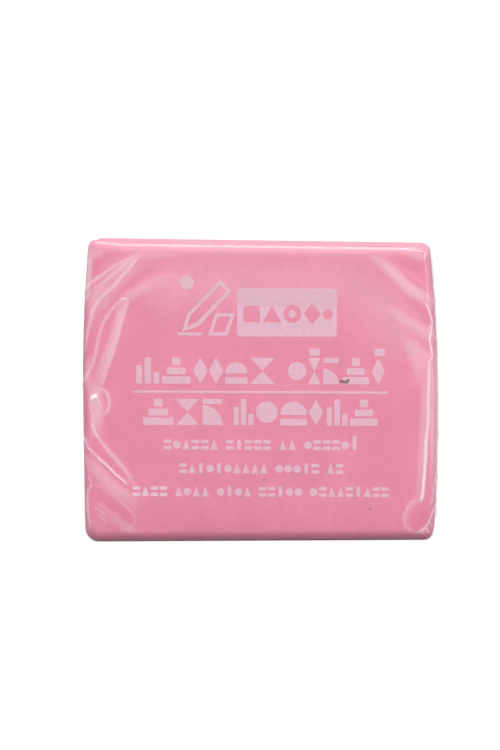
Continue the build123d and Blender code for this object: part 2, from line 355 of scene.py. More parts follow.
RIGHT_GATHERS = [
    # soft folds at the top corner
    (((-2.5, -6.4), (-0.4, -5.6), (0.6, -4.9), (1.9, -3.9), (3.3, -2.9), (5.0, -1.6), (6.8, -0.7)),
     0.08, 1.1, 0.9, 0.0),
    (((-1.5, -7.0), (0.2, -5.8), (1.2, -4.9), (2.6, -3.7)), 0.1, 0.4, 0.5, 0.12),
    (((-1.8, -11.4), (0.3, -10.4), (2.3, -9.2), (3.7, -8.2), (5.6, -6.9)), 0.1, 1.2, 1.2, 0.0),
    (((0.6, -13.6), (2.0, -12.4), (3.4, -11.2)), 0.08, 1.0, 1.2, 0.0),
    # the crest down the edge, doubled lower down, and its bulge at the top, with a painted highlight line
    # down them
    (((0.65, 21.6), (0.75, 19.6), (0.85, 17.0), (0.9, 14.3), (1.1, 12.0), (1.2, 9.6), (1.35, 6.9),
      (1.45, 5.6), (1.65, 4.9)), 0.2, 0.4, 0.5, 1.3),
    (((1.05, 13.6), (1.15, 11.5), (1.2, 9.6), (1.35, 6.9), (1.45, 5.4), (1.75, 4.4)), 0.22, 0.4, 0.45, 1.6),
    (((1.1, -6.5), (0.6, -7.0), (0.2, -8.0), (0.0, -9.0), (0.2, -9.9), (0.5, -10.8), (0.4, -11.6),
      (0.2, -12.5), (0.1, -13.4)), 0.16, 0.3, 0.4, 1.2),
    # a round fold and crinkles at the foot, with painted highlight lines on the crinkles
    (((1.5, 5.1), (2.5, 4.5), (3.2, 3.5), (3.5, 2.5), (3.2, 1.6), (2.2, 0.8)), 0.18, 0.4, 0.4, 0.2),
    (((-0.8, 4.4), (-0.1, 3.4), (0.5, 2.2), (1.2, 1.4), (2.1, 0.7)), 0.2, 0.2, 0.25, 1.2),
    (((0.5, 2.5), (0.1, 1.9), (-0.3, 1.7)), 0.12, 0.15, 0.2, 0.9),
    (((0.9, 1.8), (0.5, 1.2), (0.3, 0.8)), 0.1, 0.15, 0.2, 0.9),
    (((1.5, 1.3), (1.2, 0.9), (1.1, 0.5)), 0.08, 0.15, 0.15, 0.8),
    # the top edge: a painted highlight line along it
    (((0.5, -0.5), (1.5, -0.3), (3.0, -0.15), (5.0, -0.1)), 0.05, 0.2, 0.25, 1.1),
    (((2.0, -0.1), (9.0, -0.1), (36.0, -0.1)), 0.03, 0.15, 0.2, 0.95),
    # a fold that comes round the edge low down
    (((-1.3, 8.6), (-0.4, 7.2), (0.0, 6.0), (0.1, 4.9), (0.5, 3.9)), 0.3, 0.25, 0.3, 0.5),
]
LEFT_BACK_GATHERS = [
    (((-1.5, -8.3), (-0.3, -7.0), (0.9, -5.4), (2.4, -3.9), (4.2, -2.5), (6.3, -1.3)), 0.26, 0.5, 0.8, 0.5),
    (((-0.8, -5.6), (0.3, -4.4), (1.6, -3.1), (3.0, -1.9)), 0.18, 0.4, 0.3, 0.3),
    (((-1.2, -13.2), (0.0, -11.8), (0.9, -10.2), (1.8, -8.8), (3.9, -6.2)), 0.22, 0.5, 0.8, 0.4),
    (((-0.7, -17.5), (0.2, -16.3), (0.8, -14.4), (1.5, -12.9)), 0.16, 0.3, 0.5, 0.3),
    (((-1.0, 13.0), (0.0, 11.4), (0.9, 9.7), (1.9, 8.4), (4.3, 5.6)), 0.24, 0.6, 0.4, 0.6),
    (((-1.2, 7.5), (0.0, 6.3), (0.9, 5.3), (2.6, 3.9), (5.8, 1.5)), 0.26, 0.8, 0.4, 0.4),
    (((-0.6, 4.4), (0.4, 3.4), (1.8, 2.4), (2.9, 1.6)), 0.16, 0.4, 0.3, 0.3),
    (((-4.4, -5.2), (-3.0, -3.6), (-1.9, -2.5), (-0.9, -1.7)), 0.22, 0.6, 0.4, 0.4),
    (((-4.4, 5.2), (-3.1, 3.6), (-1.8, 2.4), (-0.9, 1.8)), 0.22, 0.4, 0.6, 0.4),
]
RIGHT_BACK_GATHERS = [
    (((-1.4, -7.6), (-0.2, -6.5), (0.9, -5.4), (2.4, -3.9), (4.0, -2.8), (5.9, -1.8)), 0.26, 0.4, 0.9, 0.5),
    (((-1.3, -12.6), (0.1, -11.5), (0.9, -10.2), (1.8, -8.8), (3.1, -7.4), (4.6, -6.4)), 0.22, 0.6, 0.6, 0.4),
    (((0.0, -9.2), (0.9, -7.9), (1.9, -6.9)), 0.14, 0.3, 0.4, 0.2),
    (((-0.9, 15.2), (0.1, 14.0), (0.7, 12.5), (1.8, 11.1), (2.6, 10.4)), 0.18, 0.5, 0.3, 0.4),
    (((-1.0, 12.2), (0.1, 11.1), (0.9, 9.7), (1.9, 8.4), (3.9, 6.5)), 0.24, 0.7, 0.4, 0.5),
    (((-1.1, 7.1), (0.1, 6.2), (0.9, 5.3), (2.6, 3.9), (4.1, 3.0), (6.4, 1.9)), 0.26, 0.7, 0.5, 0.4),
    (((-4.4, -5.2), (-3.0, -3.6), (-1.9, -2.5), (-0.9, -1.7)), 0.22, 0.6, 0.4, 0.4),
    (((-4.4, 5.2), (-3.1, 3.6), (-1.8, 2.4), (-0.9, 1.8)), 0.22, 0.4, 0.6, 0.4),
]
# The hot-wire seal up the middle of each end, in mm: a tent and on it a rim, short of foot and top
SEAL_TENT = 0.08
TENT_HALF = 1.5
TENT_START = 2.5
SEAL_PROUD = 0.14
RIM_HALF = 0.13
RIM_START = 5
RIM_RUN_UP = 0.3
RIM_HAZE = 0.25
# The lap seam across the back, in mm
LAP_FROM_END = 1.6
LAP_HALF = 2
LAP_LIFT = 0.08
LAP_HAZE = 0.09
# Pale bands: ((how far in, height), ...), half width, paleness. Some are where the film
# stands a little off the dough; others are painted reflections of the softboxes, painted
# light on the face high up, or a painted glow beside a highlight line.
LEFT_PALE_AND_PAINTED_SHEEN = [
    # a painted reflection: the pale band just under the top edge
    (((-9.0, -0.6), (2.0, -0.3), (5.0, -0.15), (9.0, -0.15), (13.0, -0.1), (22.0, -0.1), (31.0, -0.1),
      (40.0, -0.1), (49.0, -0.1)), 2.0, 0.65),
    (((0.3, -2.4), (1.0, -1.6), (2.5, -1.1)), 0.8, 0.7),
    (((0.3, -0.2), (0.3, -2.5), (0.25, -5.0), (0.2, -8.0)), 0.7, 1.3),
    (((1.0, -10.5), (1.6, -8.4), (2.6, -6.8), (3.8, -5.2), (5.2, -3.9), (6.6, -2.9), (8.4, -2.2)), 0.9, 0.6),
    (((1.5, -3.2), (4.0, -2.2), (6.5, -1.4)), 1.2, 0.35),
    (((0.3, -9.4), (0.8, -7.6), (1.5, -6.2), (2.7, -4.6), (4.3, -3.0), (5.8, -1.8), (6.8, -1.1)), 0.85, 0.75),
    (((0.1, -6.2), (1.5, -4.5), (3.2, -2.9), (5.5, -1.6)), 0.6, 0.45),
    (((5.6, -2.0), (7.0, -1.6), (9.5, -1.3), (13.0, -1.0)), 0.9, 0.55),
    (((1.5, -17.6), (2.1, -15.2), (3.0, -13.0), (3.7, -11.0), (4.2, -9.0), (4.6, -7.0), (4.7, -6.0)),
     0.75, 1.0),
    (((4.2, -6.9), (5.4, -6.2), (7.2, -5.2), (9.4, -4.2), (12.5, -3.2)), 1.0, 0.8),
    # painted light: the face paler high up
    (((7.0, -7.5), (14.0, -4.5), (40.0, -4.5)), 4.5, 0.4),
    (((1.9, 19.0), (1.6, 17.6), (1.6, 16.2), (1.7, 15.0), (1.6, 13.4), (1.9, 12.0)), 1.15, 1.1),
    (((0.9, -13.0), (0.6, -14.5), (0.6, -16.0), (0.9, -17.8)), 0.6, 0.8),
    (((0.2, 10.4), (1.2, 8.9), (2.3, 7.6), (3.6, 6.3), (5.2, 5.1), (6.7, 4.0)), 1.1, 0.8),
    (((1.4, 13.0), (2.4, 11.3), (3.3, 10.2), (4.4, 8.9), (5.3, 7.6), (6.2, 6.2)), 0.45, 0.7),
    (((2.4, 3.8), (3.9, 2.6), (5.2, 1.6), (6.6, 0.8)), 0.9, 0.45),
    (((0.35, 6.0), (0.3, 4.0), (0.3, 1.8)), 0.35, 0.5),
    (((0.8, 3.2), (1.6, 2.0), (2.6, 1.5)), 0.8, 0.15),
]
RIGHT_PALE_AND_PAINTED_SHEEN = [
    # a painted reflection: the pale band just under the top edge
    (((-9.0, -0.6), (2.0, -0.3), (6.0, -0.15), (10.0, -0.15), (22.0, -0.1), (31.0, -0.1), (40.0, -0.1),
      (49.0, -0.1)), 2.0, 0.65),
    (((0.2, -1.6), (1.4, -1.1), (2.8, -0.8)), 0.6, 0.7),
    (((-3.0, -7.8), (0.4, -6.3), (2.6, -5.0), (4.0, -3.6), (5.7, -2.0), (7.8, -0.6)), 1.15, 1.15),
    (((-2.5, -11.8), (0.1, -10.6), (1.5, -9.9), (3.3, -8.7), (5.2, -7.6), (8.4, -6.4)), 1.25, 0.95),
    (((-1.5, -15.6), (0.2, -14.2), (1.0, -13.2), (2.2, -12.2), (3.6, -11.0), (5.2, -10.0)), 1.1, 0.85),
    # a painted glow either side of the edge's highlight line
    (((0.2, 25.8), (0.2, 20.8), (0.25, 16.5), (0.3, 13.0), (0.3, 9.5), (0.4, 5.5)), 0.6, 0.95),
    (((-0.7, 27.0), (-0.7, 18.0), (-0.7, 10.0), (-0.6, 3.0)), 1.0, 0.8),
    (((1.2, 26.0), (1.2, 20.8), (1.3, 16.5), (1.5, 13.0), (1.7, 9.5), (1.9, 6.5), (2.2, 3.6)), 0.65, 0.65),
    (((1.4, 5.2), (2.6, 4.4), (3.3, 3.3), (3.4, 2.2), (2.8, 1.0)), 0.6, 0.5),
    (((2.6, 0.9), (1.2, 1.0), (0.2, 2.0)), 0.45, 0.5),
    # painted light and sheen: broad paler fields high on the face
    (((6.0, -5.5), (12.0, -4.5), (40.0, -4.5)), 4.5, 0.4),
    (((11.0, -3.5), (5.5, -7.5), (2.0, -13.5)), 4.5, 0.45),
    (((3.6, -10.2), (2.6, -11.8), (1.8, -13.6), (1.3, -16.5)), 1.5, 0.9),
]
BACK_PALE_AND_PAINTED_SHEEN = [
    # a painted reflection: the pale band just under the top edge
    (((-9.0, -0.6), (3.0, -0.3), (9.0, -0.15), (36.0, -0.1)), 1.6, 0.5),
    (((0.2, -6.0), (1.8, -3.8), (4.5, -1.9)), 1.0, 0.6),
    (((0.5, -12.5), (1.6, -10.3), (3.0, -8.2), (5.5, -6.0)), 1.2, 0.5),
    (((0.2, 12.5), (1.4, 10.2), (2.6, 8.5), (5.0, 5.8)), 0.9, 0.6),
    (((0.2, 6.8), (1.6, 5.2), (3.4, 3.8), (6.5, 1.8)), 0.9, 0.6),
    (((-4.6, -4.8), (-2.8, -3.0), (-1.0, -1.5)), 0.9, 0.4),
    (((-4.6, 4.8), (-2.8, 3.0), (-1.0, 1.5)), 0.9, 0.4),
]
# Where the film clings: ((how far in, height), ...), half width
LEFT_CLINGS = [
    (((0.4, -3.8), (1.2, -2.6), (2.4, -1.9), (3.9, -1.4), (5.3, -0.95)), 0.8),
    (((0.5, -16.0), (0.6, -12.5), (0.9, -10.2), (1.8, -8.2), (3.1, -6.2), (4.8, -4.5), (6.9, -3.1),
      (9.5, -2.1)), 0.8),
    (((0.2, 15.8), (0.35, 14.4), (0.4, 12.6)), 0.4),
    (((0.5, 11.8), (1.5, 10.6), (2.6, 9.5), (3.8, 8.2), (5.0, 6.9)), 0.5),
    (((0.9, 5.4), (2.0, 5.2), (3.4, 4.2), (4.7, 3.2), (5.6, 2.4)), 0.7),
]
RIGHT_CLINGS = [
    (((0.2, -4.2), (1.5, -2.7), (3.3, -1.5), (5.6, -0.7)), 0.8),
    (((0.4, -5.4), (1.8, -4.3), (3.2, -3.4)), 0.3),
    (((0.2, -9.2), (1.5, -7.4), (3.2, -6.1)), 0.7),
    (((0.5, 4.4), (1.4, 3.2), (2.4, 1.8)), 1.0),
]
BACK_CLINGS = [
    (((0.6, -8.6), (2.2, -6.0), (5.0, -3.8), (8.5, -2.4)), 0.9),
    (((0.5, 9.0), (1.8, 7.2), (3.6, 5.4)), 0.6),
    (((0.5, 4.0), (1.6, 3.0), (3.0, 2.0)), 0.6),
]


def puckers(seed):
    """Short wrinkles that run from an end's fused rim out across the end face."""
    chance = np.random.RandomState(seed)
    wrinkles = []
    start = -4.85  # how far in, round the corner, the rim is
    rise = 5.5
    while rise < 29.5:
        reach = chance.uniform(1.0, 3.4)
        drift = chance.uniform(-0.9, 0.9)
        wrinkles.append((
            ((start, rise), (start + reach / 2, rise + drift * 0.3), (start + reach, rise + drift)),
            chance.uniform(0.05, 0.14), chance.uniform(0.3, 0.7), chance.uniform(0.3, 0.7),
            chance.uniform(0.0, 0.35),
        ))
        rise += chance.uniform(0.9, 2.6)
    return wrinkles


def smooth_path(points, steps=12):
    """Points along a Catmull-Rom curve through the given ones."""
    p = np.array(points, float)
    p = np.vstack([2 * p[0] - p[1], p, 2 * p[-1] - p[-2]])
    t = np.linspace(0, 1, steps, endpoint=False)[:, None]
    runs = [
        0.5 * (2 * b + (c - a) * t + (2 * a - 5 * b + 4 * c - d) * t**2 + (3 * b - a - 3 * c + d) * t**3)
        for a, b, c, d in zip(p, p[1:], p[2:], p[3:])
    ]
    return np.vstack(runs + [p[-2:-1]])


def beside_path(flat, path):
    """For places on a flat film: distance from a path, on its left above zero, and how far along."""
    along = np.gradient(path, axis=0)
    away = flat[:, None, :] - path[None]
    nearest = (away**2).sum(2).argmin(1)
    rows = np.arange(len(flat))
    gap = away[rows, nearest]
    tangent = along[nearest] / np.hypot(along[nearest, 0], along[nearest, 1])[:, None]
    aside = tangent[:, 0] * gap[:, 1] - tangent[:, 1] * gap[:, 0]
    past = np.abs((tangent * gap).sum(1)) * ((nearest == 0) | (nearest == len(path) - 1))
    return np.where(aside >= 0, 1, -1) * np.hypot(aside, past), nearest / (len(path) - 1)


def round_path(flat, height, points, reach):
    """Where places on a flat film lie to a path, with heights below zero measured from the top.

    Returns which places are in the box round it, larger by reach, and of those their
    distance from it, on its left above zero, and from its nearer end, as a share of its length.
    """
    path = smooth_path([(inset, rise if rise >= 0 else height + rise) for inset, rise in points])
    low, high = path.min(0) - reach, path.max(0) + reach
    near = ((flat > low) & (flat < high)).all(1)
    distance, along = beside_path(flat[near], path)
    return near, distance, np.minimum(along, 1 - along)


def gather_film(flat, height, gathers, pale_and_painted_sheen_bands, clings, mirror):
    """The film's lift in mm, its white hazing with painted sheen and painted highlights, and how much of it
    clings to the dough, both from 0 to 1.
    """
    lift = np.zeros(len(flat))
    white = np.zeros(len(flat))
    deep = np.zeros(len(flat))
    for points, crest, left, right, white_and_painted_highlight in gathers:
        near, distance, end = round_path(flat, height, points, max(left, right))
        if mirror:
            distance = -distance
        width = np.where(distance >= 0, left, right)
        slope = np.clip(1 - np.abs(distance) / width, 0, 1)
        fade = np.sin(math.pi / 2 * np.clip(end / GATHER_FADE, 0, 1))
        lift[near] = np.maximum(lift[near], crest * (0.6 * slope**2 + 0.4 * slope**4) * fade)
        # A whiter line along each crest: partly the doubled film, partly a painted highlight.
        beside = np.abs(distance) / (CREST_LINE + CREST_SHARE * width)
        line = np.cos(math.pi / 2 * np.clip(beside, 0, 1)) * fade
        white[near] = np.maximum(white[near], white_and_painted_highlight * line)
    # Paler where the film stands off: partly its air gap, partly painted reflection and painted sheen.
    pale_and_painted_sheen = GATHER_PALENESS * np.clip(lift / PALE_AT_LIFT, 0, 1)
    for points, half_width, paleness_and_sheen in pale_and_painted_sheen_bands:
        near, distance, end = round_path(flat, height, points, half_width)
        fade = np.clip(end / PILLOW_FADE, 0, 1) ** 0.7
        swell = np.cos(math.pi / 2 * np.clip(np.abs(distance) / half_width, 0, 1)) ** 1.3
        pale_and_painted_sheen[near] = np.maximum(pale_and_painted_sheen[near], paleness_and_sheen * swell * fade)
        below_top = np.clip((height - flat[near, 1] - TOP_FLAT) / TOP_RUN_UP, 0, 1)
        lift[near] = np.maximum(lift[near], PILLOW_LIFT * paleness_and_sheen * swell * fade * below_top)
    for points, half_width in clings:
        near, distance, end = round_path(flat, height, points, half_width)
        fade = np.clip(end / CLING_FADE, 0, 1)
        deep[near] = np.maximum(deep[near], fade * np.clip(1.6 * (1 - np.abs(distance) / half_width), 0, 1))
    deep *= CLING_SHARE * (1 - pale_and_painted_sheen)
    return lift, (HAZE_FLAT + HAZE_PALE_AND_SHEEN * pale_and_painted_sheen) * (1 - deep) + HAZE_CREST_AND_HIGHLIGHT * white, deep


def across_film(half):
    """Depth cells: close at the rounded edges and at the seal along the middle of each end."""
    cells = np.array([-22, -15, -2, -1, 1, 2, 15, 22]) / 22
    return cells, [-half, 1.2 - half, -0.15, -0.12, 0.12, 0.15, half - 1.2, half]


film = cut_box("film_wrap_skin", ([8, 16], [44], [10, 25]))
from_end, from_face, from_foot, from_top = shape_slab(
    film,
    FILM_SKIN,
    end_skin=END_SKIN,
    edge_radius=FILM_EDGE_RADIUS,
    foot_radius=FILM_FOOT_RADIUS,
    corner_radii=((1.5, 0.85), (0.95, 0.85)),
    spacing=(crowded(7.5, 54 / 128), across_film, crowded(1.4, 10 / 250)),
)
film_at = positions(film)
height = (from_foot + from_top).max()
on_face = from_face < 1e-6
in_front = film_at[:, 1] < 0
lift = np.zeros(len(film_at))
haze_and_painted_light = np.full(len(film_at), HAZE_FLAT)
cling = np.zeros(len(film_at))
# Laid flat, the film runs from the front round the end's edge and over the end face
flat = np.stack([np.where(on_face, from_end, -from_face), from_foot], 1)
on_end = from_end < 1e-6
for side, front, *drawn in (
    (-1, True, LEFT_GATHERS + puckers(1), LEFT_PALE_AND_PAINTED_SHEEN, LEFT_CLINGS),
    (1, True, RIGHT_GATHERS + puckers(2), RIGHT_PALE_AND_PAINTED_SHEEN, RIGHT_CLINGS),
    (-1, False, LEFT_BACK_GATHERS + puckers(3), BACK_PALE_AND_PAINTED_SHEEN, BACK_CLINGS),
    (1, False, RIGHT_BACK_GATHERS + puckers(4), BACK_PALE_AND_PAINTED_SHEEN, BACK_CLINGS),
):
    on_side = film_at[:, 0] * side > -1e-9  # with the column in the very middle
    here = on_side & (in_front == front) & (on_face | on_end)
    lift[here], haze_and_painted_light[here], cling[here] = gather_film(flat[here], height, *drawn, mirror=side == 1)

# Each end is closed by a hot wire: the film rises in a low tent to a thin fused rim
from_middle = np.abs(film_at[:, 1]) / MM
upright = np.minimum(from_foot, from_top)
tent = (
    SEAL_TENT
    * np.clip(1 - from_middle / TENT_HALF, 0, 1) ** 1.5
    * np.clip((upright - TENT_START) / TENT_START, 0, 1)
)
rim = SEAL_PROUD * (from_middle < RIM_HALF) * np.clip((upright - RIM_START) / RIM_RUN_UP, 0, 1)
lift = np.where(on_end, np.maximum(lift, tent + rim), lift)
haze_and_painted_light = np.where(on_end & (rim > 0), RIM_HAZE, haze_and_painted_light)

# The tube's two long edges lap over each other along the back
lap = on_face & ~in_front & (from_end > LAP_FROM_END) & (np.abs(from_foot - height / 2) < LAP_HALF)
lift = np.where(lap, np.maximum(lift, LAP_LIFT), lift)
haze_and_painted_light = np.where(lap, LAP_HAZE, haze_and_painted_light)

normals = np.empty(len(film_at) * 3)
film.data.vertices.foreach_get("normal", normals)
film_at += normals.reshape(-1, 3) * lift[:, None] * MM
film.data.vertices.foreach_set("co", film_at.ravel())
raise_ear(film, from_end, from_face, from_top)
film.data.attributes.new("haze_and_painted_light", "FLOAT", "POINT").data.foreach_set("value", haze_and_painted_light)
film.data.attributes.new("cling", "FLOAT", "POINT").data.foreach_set("value", cling)
film.data.update()
bpy.ops.object.select_all(action="DESELECT")
film.select_set(True)
bpy.context.view_layer.objects.active = film
bpy.ops.object.shade_smooth()


def shrink_film():
    """Clear film: what lies behind shows through, with a glassy shine and a white hazing where it stands off,
    which also holds painted highlights and painted reflections.
    """
    material, surface = new_material("polyolefin_shrink_film")
    tree = material.node_tree
    haze_and_painted_light = add_node(tree, "Attribute", {"attribute_name": "haze_and_painted_light"}).outputs["Fac"]
    cling = add_node(tree, "Attribute", {"attribute_name": "cling"}).outputs["Fac"]
    place = add_node(tree, "TexCoord").outputs["Object"]
    ripple = add_node(tree, "TexNoise", Vector=place, Scale=450, Detail=2)
    skin = add_node(tree, "Bump", Strength=0.05, Distance=0.0001, Height=ripple.outputs["Fac"])
    through = add_node(tree, "Mix", {"data_type": "RGBA"}, _0=cling, _6=linear("#FFFFFF"),
                       _7=linear("#FDF8FA"))
    clear = add_node(tree, "BsdfTransparent", Color=through.outputs[2])
    shine = add_node(tree, "BsdfGlossy", Roughness=0.12, Normal=skin.outputs["Normal"])
    fresnel = add_node(tree, "Fresnel", IOR=1.5)
    doubled = add_node(tree, "Math", {"operation": "MULTIPLY"}, _0=fresnel.outputs[0], _1=2.0)
    capped = add_node(tree, "Math", {"operation": "MINIMUM"}, _0=doubled.outputs[0], _1=0.25)
    glazed = add_node(tree, "MixShader", _0=capped.outputs[0], _1=clear.outputs[0], _2=shine.outputs[0])
    # A white diffuse veil, mixed in by that attribute: the film's own cloudiness, and painted highlights and
    # painted reflections where it runs high.
    veil_and_painted_light = add_node(tree, "BsdfDiffuse", Color=linear("#FFF4F8"))
    mixed = add_node(tree, "MixShader", _0=haze_and_painted_light, _1=glazed.outputs[0], _2=veil_and_painted_light.outputs[0])
    tree.links.new(mixed.outputs[0], surface)
    return material


film.data.materials.append(shrink_film())
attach(film, "root")
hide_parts("film_wrap")

# ---------------------------------------------------------------------------
# Print
# One pale lilac ink on the front of the film: a pictogram, a label with shapes
# left open in it, two rows of heavy ornaments, a rule and three fine lines.

PRINT_OFF = 0.02  # mm outside the film
PRINT_TURN = 0.6  # degrees that the film sits askew, down to the right
PRINT_SHIFT = 0.2  # mm to the left, which brings its middle back over the slab's


def add_outline(curve, points):
    """One closed outline in a flat curve, in mm; an outline inside another makes a hole."""
    spline = curve.splines.new("POLY")
    spline.points.add(len(points) - 1)
    for point, (x, y) in zip(spline.points, points):
        point.co = (x, y, 0, 1)
    spline.use_cyclic_u = True


def arc(x, y, radius, start=0, end=360, steps=20):
    """Points along an arc, in degrees."""
    turns = np.radians(np.linspace(start, end, steps, endpoint=end - start < 360))
    return [(x + radius * math.cos(t), y + radius * math.sin(t)) for t in turns]


def bar(x0, y0, x1, y1, corner=0.1):
    """A rectangle with rounded corners."""
    corner = min(corner, (x1 - x0) / 2.1, (y1 - y0) / 2.1)
    return (
        arc(x1 - corner, y1 - corner, corner, 0, 89, 5)
        + arc(x0 + corner, y1 - corner, corner, 90, 179, 5)
        + arc(x0 + corner, y0 + corner, corner, 180, 269, 5)
        + arc(x1 - corner, y0 + corner, corner, 270, 359, 5)
    )


def deco_shape(kind, x0, y0, x1, y1):
    """One heavy ornament of a title row, as its outlines."""
    wide = x1 - x0
    tall = y1 - y0
    middle = (x0 + x1) / 2
    if kind == "pipes":
        return [bar(x0, y0, x0 + 0.26 * wide, y0 + 0.7 * tall),
                bar(x0 + 0.36 * wide, y0, x0 + 0.64 * wide, y1),
                bar(x0 + 0.74 * wide, y0, x1, y0 + 0.45 * tall)]
    if kind == "ziggurat":
        return [bar(middle - wide * share / 2, y0 + tall * low, middle + wide * share / 2, y0 + tall * high)
                for low, high, share in ((0, 0.28, 1), (0.36, 0.62, 0.66), (0.7, 1, 0.3))]
    if kind == "lozenge":
        return [[(x0, y0 + tall / 2), (middle, y0), (x1, y0 + tall / 2), (middle, y1)]]
    if kind == "sunrise":
        return [arc(middle, y0 + 0.4 * tall, wide / 2, 0, 180, 16), bar(x0, y0, x1, y0 + 0.25 * tall)]
    if kind == "fan":
        return [[(x0, y0)] + arc(x0, y0, min(wide, tall), 0, 90, 12), bar(x0, y1 - 0.2 * tall, x1, y1)]
    if kind == "hourglass":
        return [[(x0, y0), (x1, y0), (middle, y0 + 0.49 * tall)],
                [(x0, y1), (middle, y0 + 0.51 * tall), (x1, y1)]]
    return [arc(middle, (y0 + y1) / 2, min(wide, tall) / 2, steps=28)]


TITLE_ROWS = (
    (18.4, 21.45, (
        ("pipes", -14.2, -11.5), ("ziggurat", -11.2, -7.9), ("lozenge", -7.6, -5.9), ("lozenge", -5.8, -4.1),
        ("sunrise", -3.9, -1.3), ("hourglass", -1.0, 1.9), ("disc", 3.4, 5.5), ("hourglass", 5.7, 7.2),
        ("fan", 7.5, 9.3), ("ziggurat", 9.7, 12.8), ("lozenge", 13.1, 14.6),
    )),
    (13.6, 16.65, (
        ("ziggurat", -13.4, -9.9), ("hourglass", -9.6, -6.9), ("fan", -6.5, -4.2), ("pipes", -2.9, -0.6),
        ("disc", -0.3, 2.2), ("sunrise", 2.5, 5.6), ("lozenge", 5.8, 7.5), ("pipes", 7.9, 10.3),
        ("ziggurat", 10.6, 13.8),
    )),
)
FINE_LINES = (
    (-11.1, 11.65, 10.75, (6, 5, 2, 6)),
    (-9.3, 9.9, 8.0, (10, 5, 2)),
    (-14.7, 15.2, 5.3, (4, 4, 4, 5, 9)),
)

print_curve = bpy.data.curves.new("print_outlines", "CURVE")
print_curve.dimensions = "2D"
print_curve.fill_mode = "BOTH"

# Pictogram: a pencil, the eraser it lies across, and a disc
for outline in (
    arc(-8.35, 30.2, 0.85),
    [(-8.9, 24.4), (-8.3, 26.5), (-4.5, 30.5), (-3.1, 29.2), (-6.9, 25.1)],
    [(-8.3, 25.0), (-7.9, 26.3), (-4.5, 29.85), (-3.75, 29.15), (-7.1, 25.6)],
    [(-5.9, 24.0), (-3.6, 24.0), (-2.7, 26.6), (-5.0, 26.6)],
    [(-5.3, 24.4), (-3.9, 24.4), (-3.3, 26.2), (-4.7, 26.2)],
    bar(-9.4, 24.0, -6.6, 24.35),
):
    add_outline(print_curve, outline)

# Label with five shapes left open
add_outline(print_curve, bar(-2.5, 23.9, 9.05, 29.5, 0.45))
for outline in (
    bar(-1.75, 25.55, 0.15, 27.45),
    [(0.5, 25.55), (2.6, 25.55), (1.55, 27.55)],
    arc(3.9, 26.55, 1.05),
    [(5.2, 26.55), (6.2, 25.35), (7.2, 26.55), (6.2, 27.75)],
    arc(8.0, 26.55, 0.6),
):
    add_outline(print_curve, outline)
add_outline(print_curve, arc(3.9, 26.55, 0.45))

for low, high, shapes in TITLE_ROWS:
    for kind, left, right in shapes:
        for outline in deco_shape(kind, left, low, right, high):
            add_outline(print_curve, outline)
for left in (5.85, 13.4):
    add_outline(print_curve, bar(left, 21.7, left + 1.2, 22.55, 0.15))
add_outline(print_curve, bar(-14.6, 17.33, 15.0, 17.6, 0.1))

# Fine lines: words of small plain marks, a millimetre apart
marks = np.random.RandomState(4)
for left, right, foot, words in FINE_LINES:
    pitch = (right - left) / (sum(words) + 0.7 * (len(words) - 1))
    x = left
    for word in words:
        for _ in range(word):
            tall = (1.2, 1.2, 1.7)[marks.randint(3)]
            half = 0.42 * pitch
            centre = x + pitch / 2
            kind = marks.randint(4)
            if kind == 0:
                add_outline(print_curve, bar(centre - 0.22, foot, centre + 0.22, foot + tall))
            elif kind == 1:
                add_outline(print_curve, arc(centre, foot + 0.55, 1.05 * half))
            elif kind == 2:
                add_outline(print_curve, bar(centre - half, foot, centre + half, foot + 0.42, 0.05))
                add_outline(print_curve, bar(centre - half, foot + 0.74, centre + half, foot + 1.16, 0.05))
            else:
                add_outline(print_curve, [(centre - half, foot), (centre + half, foot), (centre, foot + 1.2)])
            x += pitch
        x += 0.7 * pitch

print_outlines = bpy.data.objects.new("front_print", print_curve)
bpy.context.scene.collection.objects.link(print_outlines)
bpy.ops.object.select_all(action="DESELECT")
print_outlines.select_set(True)
bpy.context.view_layer.objects.active = print_outlines
bpy.ops.object.convert(target="MESH")
front_print = bpy.context.object
front_print.name = "front_print"
front_print.scale = (MM, MM, MM)
front_print.rotation_euler = (math.pi / 2, math.radians(PRINT_TURN), 0)
front_print.location = (-PRINT_SHIFT * MM, -(DEPTH / 2 + FILM_SKIN + PRINT_OFF) * MM, 0)
bpy.ops.object.transform_apply(location=True, rotation=True, scale=True)

# The first word of the lowest line is printed bolder
print_at = positions(front_print) / MM
lower_left = (print_at[:, 0] < -10.2) & (print_at[:, 2] > 4.5) & (print_at[:, 2] < 7.8)
bold = front_print.data.attributes.new("bold", "FLOAT", "POINT")
bold.data.foreach_set("value", lower_left.astype(float))


def lilac_ink():
    """Flexographic ink: a thin, slightly uneven veil that lets the dough's pink through."""
    material, surface = new_material("lilac_film_ink")
    tree = material.node_tree
    place = add_node(tree, "TexCoord").outputs["Object"]
    grain = add_node(tree, "TexNoise", Vector=place, Scale=1800, Detail=3)
    veil = add_node(tree, "MapRange", _0=grain.outputs["Fac"], _1=0.3, _2=0.7, _3=0.39, _4=0.46)
    bold = add_node(tree, "Attribute", {"attribute_name": "bold"}).outputs["Fac"]
    cover = add_node(tree, "Math", {"operation": "MULTIPLY_ADD"}, _0=bold, _1=0.14, _2=veil.outputs[0])
    clear = add_node(tree, "BsdfTransparent")
    ink = add_node(tree, "BsdfPrincipled", Base_Color=linear("#F0DFEE"), Roughness=0.35)
    mixed = add_node(tree, "MixShader", _0=cover.outputs[0], _1=clear.outputs[0], _2=ink.outputs[0])
    tree.links.new(mixed.outputs[0], surface)
    return material


front_print.data.materials.append(lilac_ink())
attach(front_print, "root")

# ---------------------------------------------------------------------------
# Crumbs
# Graphite and dust picked up by the dough before it was wrapped, pressed flat
# under the film: one smudge by the title and a few specks.

